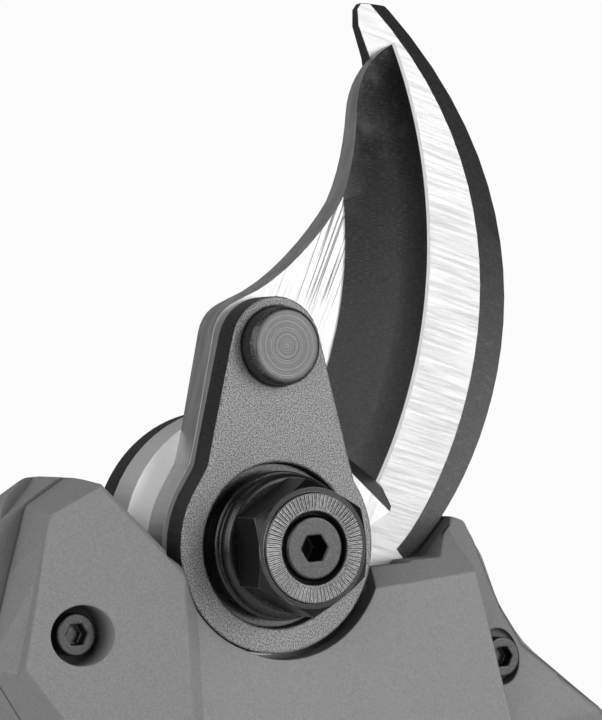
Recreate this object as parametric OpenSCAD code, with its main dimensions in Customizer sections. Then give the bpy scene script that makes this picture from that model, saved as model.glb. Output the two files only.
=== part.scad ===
/* [Cutting head] */
// Thickness of the moving blade
blade_t = 5; // [4.6:0.1:5]
// Thickness of the fixed hook
hook_t = 6; // [5.6:0.1:6]
// Distance from the pivot to the drive pin
pin_reach = 28.5; // [28:0.1:29]
// Diameter of the drive pin
pin_d = 11.3; // [10.8:0.1:11.6]
// Radius of the sharp edge of the moving blade
edge_r = 76.4; // [76:0.1:77]
// Width of the honed strip along the sharp edge
hone_w = 1; // [0.6:0.1:1.4]

/* [Pivot] */
// Across-flats size of the pivot nut
nut_af = 17; // [16:0.5:17]
// Diameter of the pivot bolt
bolt_d = 10; // [9:0.5:10]
// Outer diameter of the pivot bush
bush_d = 16; // [15:0.5:16]
// Radial running clearance of shafts and bores
run_c = 0.04; // [0.02:0.01:0.08]

/* [Drive] */
// Opening of the blade in degrees (sets the length of the toothed sector)
opening = 48; // [36:1:48]
// Diameter of the motor can
motor_d = 32; // [31:0.5:32]
// Length of the motor can
motor_l = 44; // [42:1:45]

/* [Housing] */
// Width of the hand grip
grip_w = 44; // [43:0.5:46]
// Depth of the bottom of the battery below the pivot
base_z = 246; // [246:1:252]
// Thickness of the housing walls
wall = 2.6; // [2.4:0.1:2.8]

/* [Hidden] */
$fn = 64;
FINE = 96;
STEEL = [0.72, 0.72, 0.73];
DARK_STEEL = [0.24, 0.24, 0.25];
SINTERED = [0.45, 0.45, 0.46];
HOUSING = [0.42, 0.42, 0.43];
BLACK = [0.1, 0.1, 0.11];
SOFT = [0.2, 0.2, 0.21];
ALLOY = [0.66, 0.67, 0.69];
COPPER = [0.72, 0.45, 0.3];
BRASS = [0.75, 0.62, 0.35];

// Layers of the head along Y, front (negative) to rear
blade_y = -blade_t;
plate_t = 5;
plate_y = blade_y - plate_t;
gap = 0.05;
hub_y0 = hook_t + 0.2;
hub_y1 = hub_y0 + 5;
split_y = 3;
axis_y = 8;
bush_r = bush_d / 2;
bore_r = bush_r + run_c;
bolt_r = bolt_d / 2 - 0.05;
pin_x = 1.8;
pin_r = pin_d / 2;
pin_z = sqrt(pin_reach * pin_reach - pin_x * pin_x);
washer_r = 10.7;
nut_y = -21;
washer_y = -14;

// Bevel stage, apex at (0, axis_y, 0)
bevel_l = 30;
pinion_n = 10;
sector_n = 40;
cone_p = atan(pinion_n / sector_n);
inner_scale = 0.757;

// Planetary stage along the motor axis, module and tooth counts first
planet_m = 0.6;
sun_n = 12;
planet_n = 18;
ring_n = 48;
planet_rc = planet_m * (sun_n + planet_n) / 2;
stage_z = -54;
stage_h = 8;
motor_z = -62;
grip_r = 14;
grip_y0 = -11.5;
grip_y1 = 27.5;
case_h = 50;
case_top = -base_z + case_h;

// ---------- helpers ----------

// Extrudes a shape drawn in (X, Z) between two levels of Y
module slab(y0, y1) {
    translate([0, y1, 0])
        rotate([90, 0, 0])
            linear_extrude(height = y1 - y0)
                children();
}

// Round bar along Y
module bar_y(r, y0, y1, x = 0, z = 0) {
    translate([x, y1, z])
        rotate([90, 0, 0])
            cylinder(r = r, h = y1 - y0, $fn = FINE);
}

// Round bar along Z on the motor axis
module bar_z(r, z0, z1) {
    translate([0, axis_y, z0])
        cylinder(r = r, h = z1 - z0, $fn = FINE);
}

// Box between two corners
module block(a, b) {
    translate(a)
        cube(b - a);
}

function polar(r, a) = [r * cos(a), r * sin(a)];
function arc(c, r, a0, a1, n) = [for (i = [0:n]) c + polar(r, a0 + (a1 - a0) * i / n)];
function bezier(a, b, c, d, n) = [for (i = [0:n]) let (t = i / n, s = 1 - t)
    s * s * s * a + 3 * s * s * t * b + 3 * s * t * t * c + t * t * t * d];
function angle_of(v) = atan2(v[1], v[0]);
function turn(a) = a > 180 ? a - 360 : a < -180 ? a + 360 : a;
function unit(v) = v / norm(v);

// Points of one rounded corner p1 between p0 and p2, radius r
function corner(p0, p1, p2, r) = r == 0 ? [p1] :
    let (a = unit(p0 - p1), b = unit(p2 - p1), h = acos(a * b) / 2)
    let (c = p1 + unit(a + b) * r / sin(h), s = p1 + a * r / tan(h), e = p1 + b * r / tan(h))
    let (a0 = angle_of(s - c), da = turn(angle_of(e - c) - a0), n = max(2, ceil(abs(da) / 12)))
    arc(c, r, a0, a0 + da, n);

// Outline with rounded corners: each entry is [x, y, radius]
function rounded(p) = [for (i = [0:len(p) - 1])
    let (a = p[(i + len(p) - 1) % len(p)], b = p[i], c = p[(i + 1) % len(p)])
    each corner([a[0], a[1]], [b[0], b[1]], [c[0], c[1]], b[2])];

// Solid skin through equal loops of points
module skin(loops) {
    n = len(loops[0]);
    m = len(loops);
    points = [for (l = loops) each l];
    sides = [for (j = [0:m - 2], i = [0:n - 1])
        let (a = j * n + i, b = j * n + (i + 1) % n)
        each [[a, b, b + n], [a, b + n, a + n]]];
    polyhedron(points = points, faces = concat([[for (i = [n - 1:-1:0]) i]], sides,
               [[for (i = [0:n - 1]) (m - 1) * n + i]]), convexity = 6);
}

// Socket-head screw pointing to +Y from the seat level y0
module socket_screw(x, z, d, y0, l) {
    difference() {
        union() {
            bar_y(d * 0.85, y0 - d, y0, x, z);
            bar_y(d / 2, y0, y0 + l, x, z);
        }
        translate([x, y0 - d * 0.45, z])
            rotate([90, 0, 0])
                cylinder(d = d * 0.95, h = d, $fn = 6);
    }
}

// ---------- cutting blade ----------

edge_c = [-42, 47.5];
grind_r = 58.65;
heel = [22.8, 3.6];

blade_tip = edge_c + polar(edge_r, 19.15);

blade_outline = concat(
    bezier(blade_tip, [25.5, 71.3], [21.6, 67.5], [20.9, 62], 10),
    bezier([20.9, 62], [20.4, 58.5], [19.2, 53.5], [16.7, 49.3], 6),
    bezier([16.7, 49.3], [13.4, 44.7], [5.8, 37.6], [-0.7, 35.7], 8),
    corner([-0.7, 35.7], [-5, 33.9], [-8, 22.5], 5.6),
    [[-8, 22.5], [-9.8, 15.8]],
    corner([-9.8, 15.8], [-10.9, 12.3], [-13.6, 9.2], 3),
    arc([0, 0], 16, 147, 360, 36),
    [heel],
    arc(edge_c, edge_r, -32, 17.4, 28));

// Ground bevel, hone strip and edge land as one ring-shaped cutter about the grind axis
module bevel_cutter() {
    hone_r = edge_r - hone_w;
    translate([edge_c[0], 0, edge_c[1]])
        rotate([90, 0, 0])
            rotate_extrude($fn = 240)
                polygon([[grind_r, blade_t + 1], [grind_r, blade_t], [(grind_r * 2 + hone_r) / 3, 3.5],
                         [(grind_r + hone_r * 2) / 3, 2.1], [hone_r, 0.8], [edge_r - 0.15, 0.1],
                         [edge_r + 3, 0.1], [edge_r + 3, blade_t + 1]]);
}

// Keeps the grind above the heel: a plane that leans away from the heel
module grind_zone() {
    translate([17.95, blade_y, 6.6])
        rotate([0, 45.6, 0])
            rotate([39, 0, 0])
                translate([-150, -150, 0])
                    cube([300, 300, 150]);
}

module cutting_blade() {
    color(STEEL)
        difference() {
            slab(blade_y, 0)
                polygon(blade_outline);
            intersection() {
                bevel_cutter();
                grind_zone();
            }
            bar_y(bore_r, blade_y - 1, 1);
            bar_y(pin_r, blade_y - 1, 1, pin_x, pin_z);
        }
}

// ---------- link plate ----------

ring_or = 15.5;
ring_ir = 11.8;

plate_outline = concat(
    arc([pin_x, pin_z], 7.2, 8, 162, 14),
    [[-9.1, 16.8]],
    corner([-9.1, 16.8], [-10.4, 12.1], [-13.3, 8.3], 3),
    arc([0, 0], ring_or, 148, 392, 36));

module link_plate() {
    color(SINTERED)
        difference() {
            slab(plate_y, blade_y - gap)
                polygon(plate_outline);
            bar_y(ring_ir, plate_y - 1, blade_y + 1);
            bar_y(pin_r, plate_y - 1, blade_y + 1, pin_x, pin_z);
        }
}

// ---------- bevel drive ----------

// Section of one pinion tooth gap side, height h above the pitch line, in the plane Z = -bevel_l
pinion_tip = 1.8;
pinion_root = 1.2;
virtual_r = 7.73;
virtual_base = virtual_r * cos(20);
pinion_w = 2.68;

function involute_half(h) =
    let (r = virtual_r + h, ca = virtual_base / max(r, virtual_base), al = acos(ca))
    let (a0 = 20 + pinion_w / (2 * virtual_r) * 180 / PI)
    a0 - 20 + (tan(20) - PI / 9) * 180 / PI - (tan(al) * 180 / PI - al);
function cone_point(h, a) =
    let (s = bevel_l / (bevel_l - sin(cone_p) * h), r = (7.5 + cos(cone_p) * h) * s)
    polar(r, a);
pinion_heights = [-pinion_root, -0.45, 0.2, 0.75, 1.3, pinion_tip];

module pinion_section() {
    step = 360 / pinion_n;
    n = len(pinion_heights);
    polygon([for (t = [0:pinion_n - 1]) each concat(
        [for (i = [0:n - 1]) let (h = pinion_heights[i])
            cone_point(h, 90 + (t + 0.5) * step - involute_half(h) / cos(cone_p))],
        [for (i = [n - 1:-1:0]) let (h = pinion_heights[i])
            cone_point(h, 90 + (t + 0.5) * step + involute_half(h) / cos(cone_p))])]);
}

// A prism that tapers towards the bevel apex, from the outer plane to the inner one
module bevel_prism() {
    translate([0, axis_y, -bevel_l])
        linear_extrude(height = bevel_l * (1 - inner_scale), scale = inner_scale)
            children();
}

module bevel_pinion() {
    color(STEEL)
        union() {
            bevel_prism()
                pinion_section();
            bar_z(5.6, -bevel_l - 2.5, -bevel_l);
            bar_z(4 - run_c / 2, -50, -bevel_l - 2.5);
        }
}

sector_tip = 0.85;
sector_root = 2.2;
sector_w = 1.8;

// Half width of a sector tooth at height h, and its place in the plane Z = -bevel_l
function sector_half(h) = sector_w / 2 - h * tan(20);
function sector_point(h, side) =
    let (r = bevel_l + sin(cone_p) * h)
    [side * sector_half(h) * bevel_l / r, (7.5 - cos(cone_p) * h) * bevel_l / r];

module sector_teeth() {
    pitch = 360 / sector_n;
    for (k = [-1:ceil(opening / pitch)])
        translate([0, axis_y, 0])
            rotate([0, k * pitch, 0])
                translate([0, -axis_y, 0])
                    bevel_prism()
                        polygon([sector_point(-sector_root - 0.4, 1), sector_point(sector_tip, 1),
                                 sector_point(sector_tip, -1), sector_point(-sector_root - 0.4, -1)]);
}

// Rim behind the teeth: a conical face at the tooth roots on a flat back
rim_ri = 21.8;
rim_ro = 31;
rim_back = axis_y + 13;

sector_rim = [[rim_ri, -(axis_y + 7.05)], [rim_ro, -(axis_y + 10)], [rim_ro, -rim_back],
              [rim_ri - 3.2, -rim_back], [rim_ri - 3.2, -hub_y0], [rim_ri - 0.4, -hub_y0],
              [rim_ri, -(hub_y0 + 2)]];

sector_a1 = -77;
sector_a0 = sector_a1 - 21 - opening;

hub_r = 19.3;

module sector_gear() {
    color(SINTERED)
        difference() {
            union() {
                bar_y(hub_r, hub_y0, hub_y1);
                intersection() {
                    rotate([90, 0, 0])
                        rotate_extrude($fn = 180)
                            polygon(sector_rim);
                    slab(0, 30)
                        polygon(concat([[0, 0]], arc([0, 0], 44, sector_a0, sector_a1, 8)));
                }
                sector_teeth();
            }
            bar_y(bush_r + 0.01, hub_y0 - 1, hub_y1 + 1);
        }
}

// Pin pressed through the link plate and the blade, its rear end flush with the blade
module drive_pin() {
    color(DARK_STEEL)
        union() {
            bar_y(pin_r, plate_y - 2.4, -gap, pin_x, pin_z);
            translate([pin_x, plate_y - 2.4, pin_z])
                rotate([90, 0, 0])
                    rotate_extrude($fn = FINE)
                        polygon([[0, 0], [pin_r, 0], [pin_r - 0.6, 0.6], [0, 0.6]]);
        }
}

// ---------- fixed hook ----------

base_r = 19.8;
leg_x0 = 13.5;
leg_x1 = 26.6;
leg_z = -34;
hook_n = 26;

hook_outer = bezier([29.8, 78.3], [68, 37.7], [35, -2.8], [leg_x1, -5], hook_n);
hook_face = bezier([26.2, 78.6], [58.1, 44.9], [35.7, 5.9], [leg_x1 - 1.4, -3.1], hook_n);

hook_inside = concat(
    [[-leg_x0, leg_z], [-leg_x1, leg_z], [-leg_x1, -20]],
    arc([0, 0], base_r, 205, 78, 20),
    bezier([9.5, 21], [22, 30], [29.5, 50], [25.6, 70.5], 12),
    [[24, 75.3], [24, 77.7], [24.7, 78.6]]);

hook_outline = concat(
    arc([0, 0], base_r + 0.3, -52, -128, 12),
    hook_inside, hook_outer,
    [[leg_x1, leg_z], [leg_x0, leg_z]]);

// Chamfer along the outer edge, a strip between the face edge and the outer edge
module hook_chamfer() {
    depth = 1.5;
    skin([for (i = [0:hook_n])
        let (f = hook_face[i], o = hook_outer[i], far = o + 3 * unit(o - f))
        [[f[0], 0, f[1]], [f[0], -1, f[1]], [far[0], -1, far[1]], [far[0], depth * 1.6, far[1]],
         [o[0], depth, o[1]]]]);
}

hook_screw_at = [[-20, -22], [-20, -30.5], [20, -22], [20, -30.5]];

module hook_blade() {
    color(STEEL)
        difference() {
            slab(0, hook_t)
                polygon(hook_outline);
            hook_chamfer();
            translate([0, hook_t, 44])
                rotate([7.6, 0, 0])
                    cube([80, 12, 80]);
            bar_y(bore_r, -1, hook_t + 1);
            for (p = hook_screw_at)
                bar_y(2.5, -1, hook_t + 1, p[0], p[1]);
        }
}

// ---------- pivot stack ----------

// Sleeve that carries the turning force from the sector gear forward to the link plate
module pivot_bush() {
    color(DARK_STEEL)
        difference() {
            union() {
                bar_y(bush_r, blade_y - gap, hub_y1 + 0.1);
                bar_y(ring_ir - 0.01, plate_y + 1.5, blade_y - gap);
            }
            bar_y(bolt_d / 2, -20, 20);
        }
}

module disc_washer() {
    color(BLACK)
        difference() {
            bar_y(washer_r - 0.5, plate_y, plate_y + 1.45);
            bar_y(bolt_d / 2 + 0.2, -20, 0);
        }
}

module flange_washer() {
    color(DARK_STEEL)
        difference() {
            translate([0, plate_y - 0.05, 0])
                rotate([90, 0, 0])
                    rotate_extrude($fn = FINE)
                        polygon(concat([[0, 0], [washer_r - 0.3, 0], [washer_r, 0.3], [washer_r, 1.2],
                                        [washer_r - 0.8, 1.3], [washer_r - 0.8, 1.8],
                                        [washer_r - 0.3, 2.1]],
                                       arc([washer_r - 1.3, 2.9], 1, 0, 90, 6), [[0, 3.9]]));
            bar_y(bolt_d / 2 + 0.2, -20, 0);
        }
}

module pivot_nut() {
    face_r = 7.9;
    color(BLACK)
        difference() {
            intersection() {
                slab(nut_y, washer_y)
                    rotate([0, 0, 30])
                        circle(r = nut_af / sqrt(3), $fn = 6);
                translate([0, washer_y, 0])
                    rotate([90, 0, 0])
                        rotate_extrude($fn = FINE)
                            polygon([[0, 0], [9.4, 0], [9.9, 0.5], [9.9, 5.4], [8.5, 6.5],
                                     [face_r, 6.5], [face_r - 0.2, 7], [0, 7]]);
            }
            bar_y(bolt_d / 2, nut_y - 1, washer_y + 1);
            translate([0, nut_y - 0.01, 0])
                rotate([-90, 0, 0])
                    cylinder(r1 = 5.3, r2 = 4.9, h = 0.8, $fn = FINE);
            for (k = [0:71])
                rotate([0, 5 * k, 0])
                    block([5.6, nut_y - 1, -0.09], [face_r - 0.35, nut_y + 0.12, 0.09]);
        }
}

module pivot_bolt() {
    tail = nut_y + 0.9;
    color(DARK_STEEL)
        difference() {
            union() {
                bar_y(bolt_r, tail, hub_y1 + 1.5);
                translate([0, tail, 0])
                    rotate([90, 0, 0])
                        cylinder(r1 = bolt_r - 0.25, r2 = 4.3, h = 0.8, $fn = FINE);
                bar_y(10.2, hub_y1 + 0.2, hub_y1 + 1.4);
                translate([0, hub_y1 + 7, 0])
                    rotate([90, 0, 0])
                        cylinder(r = 9.2, h = 5.6, $fn = 6);
            }
            translate([0, tail + 3.5, 0])
                rotate([90, 0, 0])
                    cylinder(d = 4.2, h = 6, $fn = 6);
        }
}

module hook_screws() {
    color(BLACK)
        for (p = hook_screw_at)
            difference() {
                union() {
                    bar_y(2.48, case_y0 + 1.2, hook_t, p[0], p[1]);
                    bar_y(4, case_y0 - 0.2, case_y0 + 1.2, p[0], p[1]);
                }
                translate([p[0], case_y0 + 1.5, p[1]])
                    rotate([90, 0, 0])
                        cylinder(d = 3, h = 3, $fn = 6);
            }
}

// ---------- gearcase and gears ----------

case_y0 = -5.6;
bearing_z0 = -43;
bearing_z1 = -36;

case_outline = rounded([[-25.6, -35, 3], [-25.6, -18, 3], [25.6, -18, 3], [25.6, -35, 3], [19, -44, 4],
                        [-19, -44, 4]]);

module gearcase() {
    color(ALLOY)
        difference() {
            union() {
                slab(case_y0, -gap)
                    polygon(case_outline);
                bar_z(13.4, -44, -34);
                block([-19, -gap - 1, -44], [19, 10, -36]);
            }
            bar_z(10.4, -35.5, -10);
            bar_z(9.5, bearing_z0, -35);
            bar_z(6.6, -45, -35);
            for (p = hook_screw_at) {
                bar_y(2.5, case_y0 - 1, 1, p[0], p[1]);
                bar_y(4.1, case_y0 - 1, case_y0 + 1.2, p[0], p[1]);
            }
            bar_z(17.2, -50, -43.2);
        }
}

// Outer ring of the pinion bearing
module pinion_bearing() {
    color(STEEL)
        difference() {
            bar_z(9.48, bearing_z0 + 1, bearing_z1 + 0.9);
            bar_z(7.6, bearing_z0, bearing_z1 + 2);
        }
}

// Inner ring and balls of the pinion bearing
module bearing_core() {
    mid = (bearing_z0 + bearing_z1) / 2 + 0.9;
    color(STEEL)
        difference() {
            bar_z(5.6, bearing_z0 + 1, bearing_z1 + 0.9);
            bar_z(4, bearing_z0, bearing_z1 + 2);
        }
    color(STEEL)
        for (k = [0:8])
            translate([0, axis_y, mid])
                rotate([0, 0, k * 40])
                    translate([6.6, 0, 0])
                        sphere(r = 0.95, $fn = 24);
}

module planet_carrier() {
    color(STEEL)
        difference() {
            bar_z(12.6, -52.8, -48.5);
            bar_z(4, -54, -47);
            for (k = [0:2])
                planet_at(k)
                    translate([0, 0, -54])
                        cylinder(r = 1.5, h = 8, $fn = 32);
        }
}

// Places a child on planet axis k
module planet_at(k) {
    translate([0, axis_y, 0])
        rotate([0, 0, 90 + 120 * k])
            translate([planet_rc, 0, 0])
                children();
}

module planet_pins() {
    color(STEEL)
        for (k = [0:2])
            planet_at(k)
                translate([0, 0, stage_z - stage_h - 0.3])
                    cylinder(r = 1.49, h = 14, $fn = 48);
}

function flank(n, h, thin) =
    let (r0 = planet_m * n / 2, r = r0 + h, rb = r0 * cos(20), al = acos(rb / max(r, rb)))
    90 / n - (thin / 2) / r0 * 180 / PI + (tan(20) - PI / 9) * 180 / PI
    - (tan(al) * 180 / PI - al);

// Involute gear section, first tooth at angle 0
module gear_section(n, add, ded, thin) {
    r0 = planet_m * n / 2;
    hs = [for (i = [0:5]) -ded + (add + ded) * i / 5];
    polygon([for (t = [0:n - 1]) each concat(
        [for (i = [0:5]) polar(r0 + hs[i], t * 360 / n - flank(n, hs[i], thin))],
        [for (i = [5:-1:0]) polar(r0 + hs[i], t * 360 / n + flank(n, hs[i], thin))])]);
}

tooth_add = 0.5;
tooth_ded = 0.66;
tooth_thin = 0.08;

module planet_gear(k) {
    color(BRASS)
        planet_at(k)
            translate([0, 0, stage_z - stage_h])
                difference() {
                    linear_extrude(height = stage_h)
                        rotate([0, 0, 10])
                            gear_section(planet_n, tooth_add, tooth_ded, tooth_thin);
                    translate([0, 0, -1])
                        cylinder(r = 1.49 + run_c, h = stage_h + 2, $fn = 48);
                }
}

module planet_a() { planet_gear(0); }
module planet_b() { planet_gear(1); }
module planet_c() { planet_gear(2); }

module ring_gear() {
    color(DARK_STEEL)
        difference() {
            bar_z(17, motor_z - 1.2, -44.2);
            translate([0, axis_y, motor_z - 2])
                linear_extrude(height = 11)
                    rotate([0, 0, 3.75])
                        gear_section(ring_n, 0.7, 0.42, 0);
            bar_z(15.4, -53.4, -44);
        }
}

module sun_gear() {
    color(BRASS)
        translate([0, axis_y, stage_z - stage_h])
            difference() {
                linear_extrude(height = stage_h - 0.4)
                    rotate([0, 0, 90])
                        gear_section(sun_n, tooth_add, tooth_ded, tooth_thin);
                translate([0, 0, -1])
                    cylinder(r = 1.6, h = stage_h + 2, $fn = 48);
            }
}

// ---------- motor ----------

plate_z = motor_z - 4.4;
motor_end = plate_z - motor_l;

module motor_plate() {
    color(ALLOY)
        difference() {
            bar_z(17, plate_z, motor_z - 1.25);
            bar_z(4.3, plate_z - 1, motor_z);
            for (k = [0:3])
                translate([0, axis_y, plate_z - 1])
                    rotate([0, 0, 45 + 90 * k])
                        translate([10, 0, 0])
                            cylinder(r = 1.6, h = 5, $fn = 32);
        }
}

module motor_can() {
    color(ALLOY)
        difference() {
            bar_z(motor_d / 2, motor_end, plate_z - 0.05);
            bar_z(motor_d / 2 - 1.4, motor_end + 2.4, plate_z - 2.4);
            bar_z(4, motor_end - 1, plate_z + 1);
            for (k = [0:5])
                translate([0, axis_y, 0])
                    rotate([0, 0, 60 * k])
                        translate([0, 10.5, motor_end - 1])
                            cylinder(r = 2.4, h = 6, $fn = 32);
        }
}

module stator() {
    z0 = motor_end + 8;
    z1 = plate_z - 8;
    color(DARK_STEEL)
        difference() {
            bar_z(motor_d / 2 - 1.42, z0, z1);
            bar_z(12.4, z0 - 1, z1 + 1);
        }
    color(DARK_STEEL)
        difference() {
            for (k = [0:5])
                translate([0, axis_y, z0])
                    rotate([0, 0, 60 * k])
                        translate([8.2, -1.5, 0])
                            cube([5, 3, z1 - z0]);
            bar_z(8.4, z0 - 1, z1 + 1);
        }
    color(COPPER)
        for (k = [0:5])
            translate([0, axis_y, z0 - 2.5])
                rotate([0, 0, 60 * k])
                    difference() {
                        translate([9.4, -3.4, 0])
                            cube([2.6, 6.8, z1 - z0 + 5]);
                        translate([9, -1.55, 2.45])
                            cube([4, 3.1, z1 - z0 + 0.1]);
                    }
}

module rotor() {
    color(DARK_STEEL)
        difference() {
            bar_z(7.8, motor_end + 8, plate_z - 8);
            bar_z(1.99, motor_end, plate_z);
        }
}

module motor_shaft() {
    color(STEEL)
        union() {
            bar_z(1.99, motor_end + 1, motor_z - 1);
            bar_z(1.59, motor_z - 1, stage_z - 0.4);
        }
}

module motor_bushes() {
    color(BRASS)
        for (z = [motor_end, plate_z - 5])
            difference() {
                bar_z(3.98, z + 0.2, z + 4.6);
                bar_z(1.99 + run_c, z - 1, z + 6);
            }
}

// ---------- housing ----------

guard_y0 = -2;
guard_y1 = 2 * axis_y - guard_y0;

// Front view of the head with the flare that starts the guard
head_outline = rounded([[-23, -62, 0], [-23, -44, 12], [-41.4, -15.5, 6], [-40.4, -3, 20],
                        [-36.2, 8.8, 4], [-31.4, 11.9, 3], [-26.6, 11.7, 1.5], [-13.4, -4.5, 1],
                        [29.6, -4.5, 0.6], [35, 1.1, 1], [38.5, 0, 1.5], [41.8, -5.6, 8],
                        [44.2, -13, 14], [48.2, -19.6, 16], [62, -31.5, 12], [67.5, -41, 6],
                        [62, -52, 8], [30, -44, 6], [22, -62, 0]]);

// Plan of the head: front half, then the same half mirrored to the rear
panel_y = -8.5;
panel_y1 = -7.6;
head_half = [[-41.4, -2.9], [-15.8, -11.2], [-13.4, -9.8], [22.7, panel_y], [37, panel_y1],
             [80, panel_y1]];
head_plan = concat(head_half, [for (i = [len(head_half) - 1:-1:0])
    [head_half[i][0], 2 * axis_y - head_half[i][1]]]);

// Removes all that lies beyond the plane through p with outward normal n
module plane_cut(p, n, size = 40) {
    u = size * unit(cross(n, [0.1, 0.2, 1]));
    v = size * unit(cross(u, n));
    skin([for (k = [0, 1])
        let (q = p + k * 14 * n)
        [q - u - v, q + u - v, q + u + v, q - u + v]]);
}

// Side strip left of the cheek, stepped back from it:
// [z, x at the parting edge, x at the cheek, depth of the step]
strip_rows = [[14, -30.9, -31.4, 0.05], [6.4, -33.8, -33.2, 0.1], [4, -34.6, -33.9, 0.4],
              [-1.8, -36.6, -35, 1.4], [-14.3, -40.6, -37.7, 2.4], [-16, -41.1, -38.1, 2.5],
              [-30, -45, -41, 2.5]];

// Level of the cheek face at x, from the first edge of the plan
function cheek_y(x) = let (a = head_half[0], b = head_half[1])
    b[1] + (x - b[0]) * (b[1] - a[1]) / (b[0] - a[0]);

module strip_cut() {
    skin([for (r = strip_rows)
        [[-60, -20, r[0]], [r[2], -20, r[0]], [r[2], cheek_y(r[2]) + r[3], r[0]], [r[1], split_y, r[0]],
         [-60, split_y, r[0]]]]);
}

// Groove that runs beside the slot, down the slope above the panel
groove_depth = 0.7;

// Facets of the front half of the head
module front_facets() {
    strip_cut();
    plane_cut([-37.6, -4.1, -14.3], [-0.83, -0.311, -0.463]);
    plane_cut([-20.7, -9.6, 3.24], [0.384, -0.772, 0.506], 14);
    plane_cut([-26.2, -8.65, 10.3], [-0.488, -0.165, 0.858], 16);
    slab(-20, split_y)
        polygon([[-26.9, 11.62], [-26, 16], [-46, 16], [-46, 4], [-34.9, 4.6], [-33.2, 8.1]]);
    translate([-12.65, panel_y, -7.5])
        rotate([41.3, 0, 0]) {
            translate([0, -3, 0])
                cube([60, 16, 9]);
            translate([0, 0, -groove_depth])
                linear_extrude(height = groove_depth + 1)
                    polygon([[39.65, 4.7], [47.25, 11.06], [47, 11.36], [39.4, 5]]);
        }
}

// Flank right of the panel: [z, x of the panel edge, x of the widest line of the head]
flank_rows = [[9, 32, 36.4], [-0.8, 32.7, 39.7], [-8, 34.2, 42.4], [-13.5, 35.4, 44.6],
              [-19.6, 36.7, 48.2], [-25, 37.8, 54.8], [-31.5, 39.2, 62.8], [-41, 41, 69], [-57, 43, 76]];

// Steep wall behind the panel edge, then a shallow face out to the widest line
module flank_cut() {
    skin([for (r = flank_rows)
        [[r[1], -40, r[0]], [r[2] + 40, -40, r[0]], [r[2] + 40, split_y, r[0]], [r[2], split_y, r[0]],
         [r[1] + 1, -1, r[0]], [r[1], panel_y1, r[0]]]]);
}

// Mirrors the children to the rear side of the motor axis plane
module mirror_rear() {
    translate([0, 2 * axis_y, 0])
        mirror([0, 1, 0])
            children();
}

// Trigger guard: outer outline and finger opening
guard_outline = rounded([[60, -34, 6], [68.5, -42, 10], [66, -78, 40], [50, -112, 40],
                         [24, -140, 12], [10, -140, 0], [10, -60, 0], [30, -40, 0]]);
guard_hole = rounded([[14, -46, 0], [52, -45, 9], [58, -56, 12], [55, -82, 40], [42, -106, 26],
                      [25, -122, 5], [14, -122, 0]]);

module rounded_column(w0, w1, r, z0, z1, y0, y1) {
    translate([0, 0, z0])
        linear_extrude(height = z1 - z0)
            polygon(rounded([[w0, y0, r], [w1, y0, r], [w1, y1, r], [w0, y1, r]]));
}

base_w = 76;
base_y0 = -14;
base_y1 = 30;

// Whole outer body before it is split into front and rear shells
module body_solid() {
    difference() {
        intersection() {
            slab(-20, 36)
                polygon(head_outline);
            translate([0, 0, -70])
                linear_extrude(height = 90)
                    polygon(head_plan);
        }
        flank_cut();
        mirror_rear()
            flank_cut();
        front_facets();
        plane_cut([-31.6, 8, 11.3], [-0.4, 0.45, 0.8]);
        slab(-30, 46)
            polygon(guard_hole);
    }
    rounded_column(-grip_w / 2, grip_w / 2, grip_r, case_top + 12, -45, grip_y0, grip_y1);
    hull() {
        rounded_column(-grip_w / 2, grip_w / 2, grip_r, -46, -45, grip_y0, grip_y1);
        rounded_column(-grip_w / 2 + 0.6, grip_w / 2 - 0.6, 8, -32, -31, -8.3, 2 * axis_y + 8.3);
    }
    difference() {
        slab(guard_y0, guard_y1)
            polygon(guard_outline);
        slab(-30, 46)
            polygon(guard_hole);
    }
    hull() {
        rounded_column(-base_w / 2, base_w / 2, 9, case_top + 0.1, case_top + 7, base_y0, base_y1);
        rounded_column(-grip_w / 2, grip_w / 2, grip_r, case_top + 20, case_top + 21, grip_y0, grip_y1);
    }
}

// Inside of the head, seen from the front
cavity_outline = rounded([[-20, -60, 2], [-20.8, -46, 6], [-35.4, -19, 3], [-34.5, 4, 3],
                          [-28.6, 8.8, 1], [-26, 8.6, 1], [-15.2, -5, 0], [-15.2, -7.4, 0],
                          [31.5, -7.4, 2], [34.5, -19, 3], [36.5, -32, 3], [36.5, -38, 3],
                          [28, -41, 4], [20, -60, 2]]);

// Room for the drive, the motor and the electronics
module body_cavity() {
    difference() {
        slab(-2.5, 21.8)
            polygon(cavity_outline);
        block([-60, -10, -30], [-31.6, split_y + 1, 30]);
    }
    intersection() {
        slab(case_y0 - 0.3, -2.4)
            polygon(cavity_outline);
        block([-26, -10, -80], [60, 0, 20]);
    }
    rounded_column(-17.4, 17.4, 10, motor_end - 2, -42, axis_y - 17.4, axis_y + 17.4);
    rounded_column(-18.6, 18.6, 11, case_top + 16, motor_end - 1.9, grip_y0 + wall, grip_y1 - wall);
}

// Slot in which the blade, the hook and the sector work; its front lip closes up to the hook
module head_slot() {
    slab(blade_y - 0.3, hub_y1 + 0.3)
        polygon(concat(arc([0, 0], 22.8, 120, 240, 24),
                       [[20, -10], [24.2, -4.7], [34.7, 0.6], [40, 12], [-11.4, 30]]));
    slab(-0.15, hub_y1 + 0.3)
        polygon([[19, -10], [26, -8], [30, -4.7], [35.2, 0.6], [40.5, 12.4], [19, 12.4]]);
    bar_y(ring_or + 0.15, -30, 2);
    bar_y(ring_or + 0.4, -30, 2, 2, -0.7);
    intersection() {
        bar_y(17.8, plate_y - 0.15, 2);
        block([-30, -20, -3.6], [-13.5, 2, 20]);
    }
    bar_y(13, 2, 19);
}

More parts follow.
